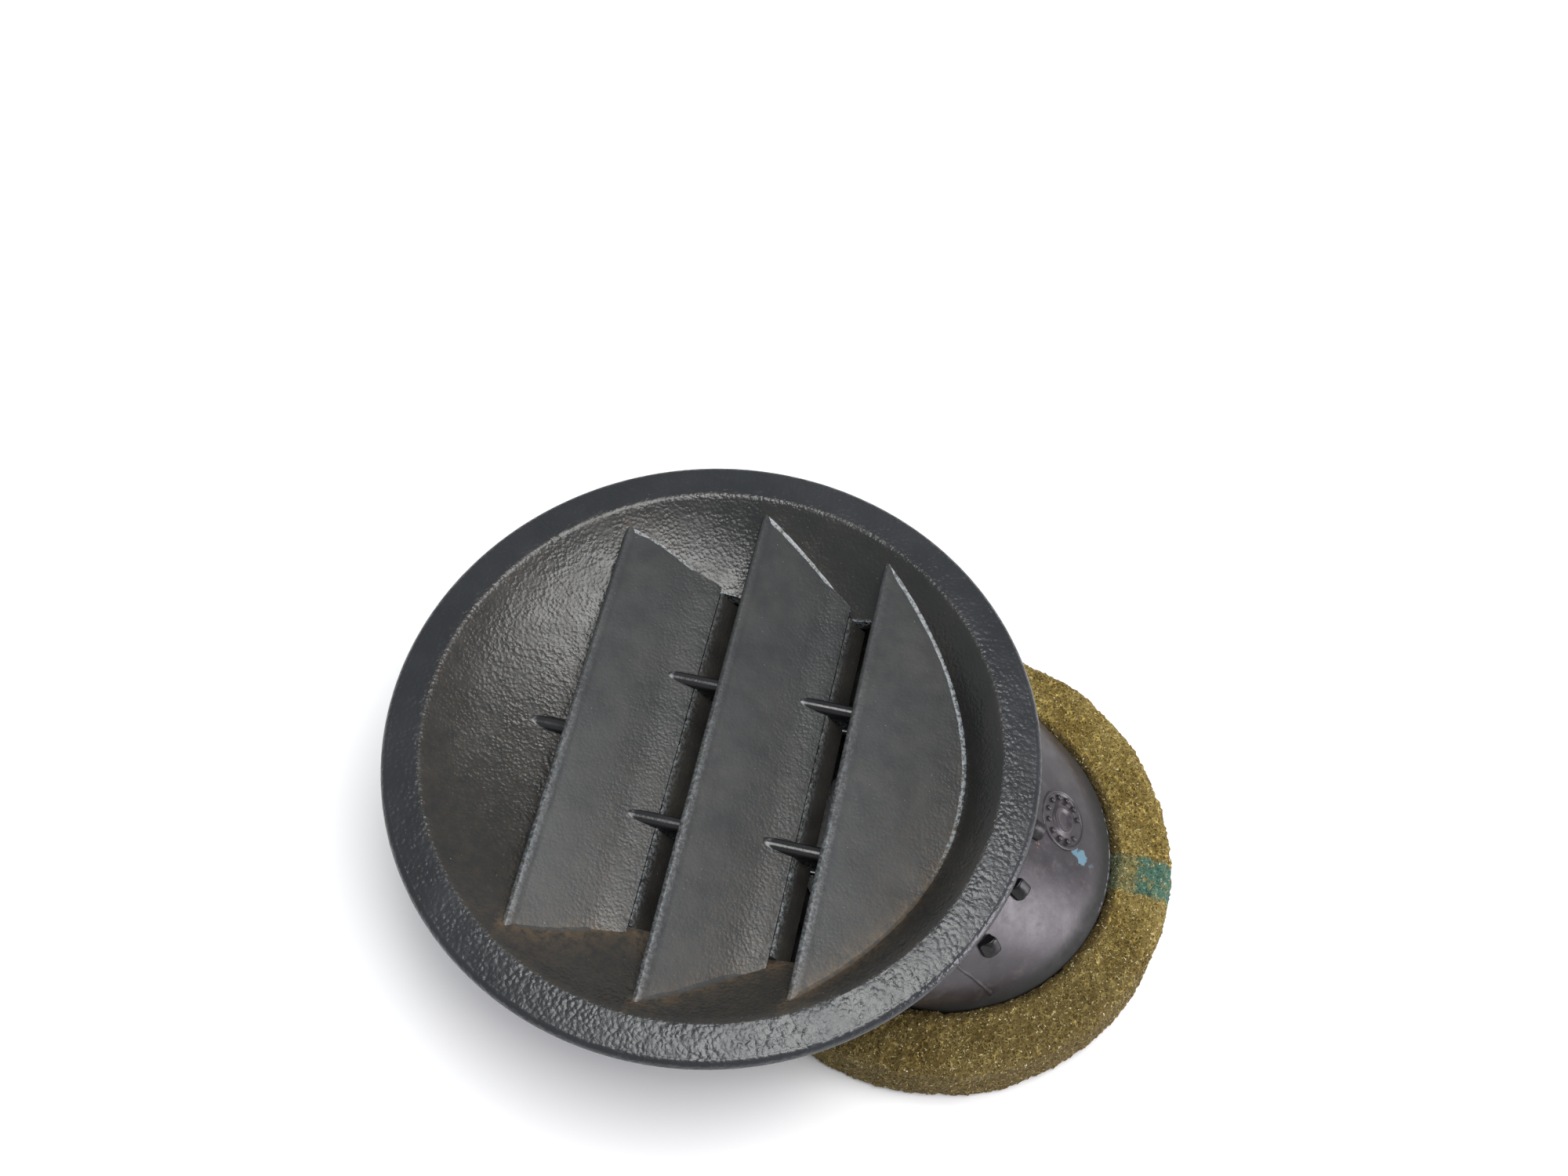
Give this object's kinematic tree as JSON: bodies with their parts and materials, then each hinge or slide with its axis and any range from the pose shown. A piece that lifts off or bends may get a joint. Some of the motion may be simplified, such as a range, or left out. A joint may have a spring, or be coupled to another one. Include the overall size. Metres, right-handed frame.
{
  "type": "round louvred air outlet",
  "caption": "Round air diffuser with a textured bezel, dished face, fixed sloping louvres, an oblique duct and a foam seal.",
  "frame": {"origin": "middle of the bounding box, on the plane that the foam seal stands on", "axes": "+Z is the outward normal of the face, the louvres run along Y, and the duct leans towards +X as it goes down"},
  "size_m": [0.0864, 0.07, 0.0238],
  "materials": {
    "grained_plastic": "charcoal, leather grain, satin",
    "edge_plastic": "charcoal, smooth, satin",
    "dish_plastic": "charcoal, leather grain, dusty in the corners",
    "louvre_plastic": "charcoal, fine grain, dusty",
    "slot_plastic": "near black, satin",
    "duct_plastic": "near black, smooth, semi-gloss",
    "foam": "olive-brown open-cell foam, rough"
  },
  "bodies": {
    "root": {"bezel_ring": "grained_plastic", "rim_edge": "edge_plastic", "dish": "dish_plastic", "louvre_1": "louvre_plastic", "louvre_2": "louvre_plastic", "louvre_3": "louvre_plastic", "louvre_1_foot": "slot_plastic", "louvre_2_foot": "slot_plastic", "rib_1": "slot_plastic", "rib_2_upper": "slot_plastic", "rib_2_lower": "slot_plastic", "rib_3_upper": "slot_plastic", "rib_3_lower": "slot_plastic", "spigot_ring": "slot_plastic", "duct_barrel": "duct_plastic", "duct_collar": "duct_plastic", "snap_teeth": "duct_plastic", "date_stamp": "duct_plastic", "parting_bead": "duct_plastic", "foam_seal": "foam"}
  },
  "joints": []
}
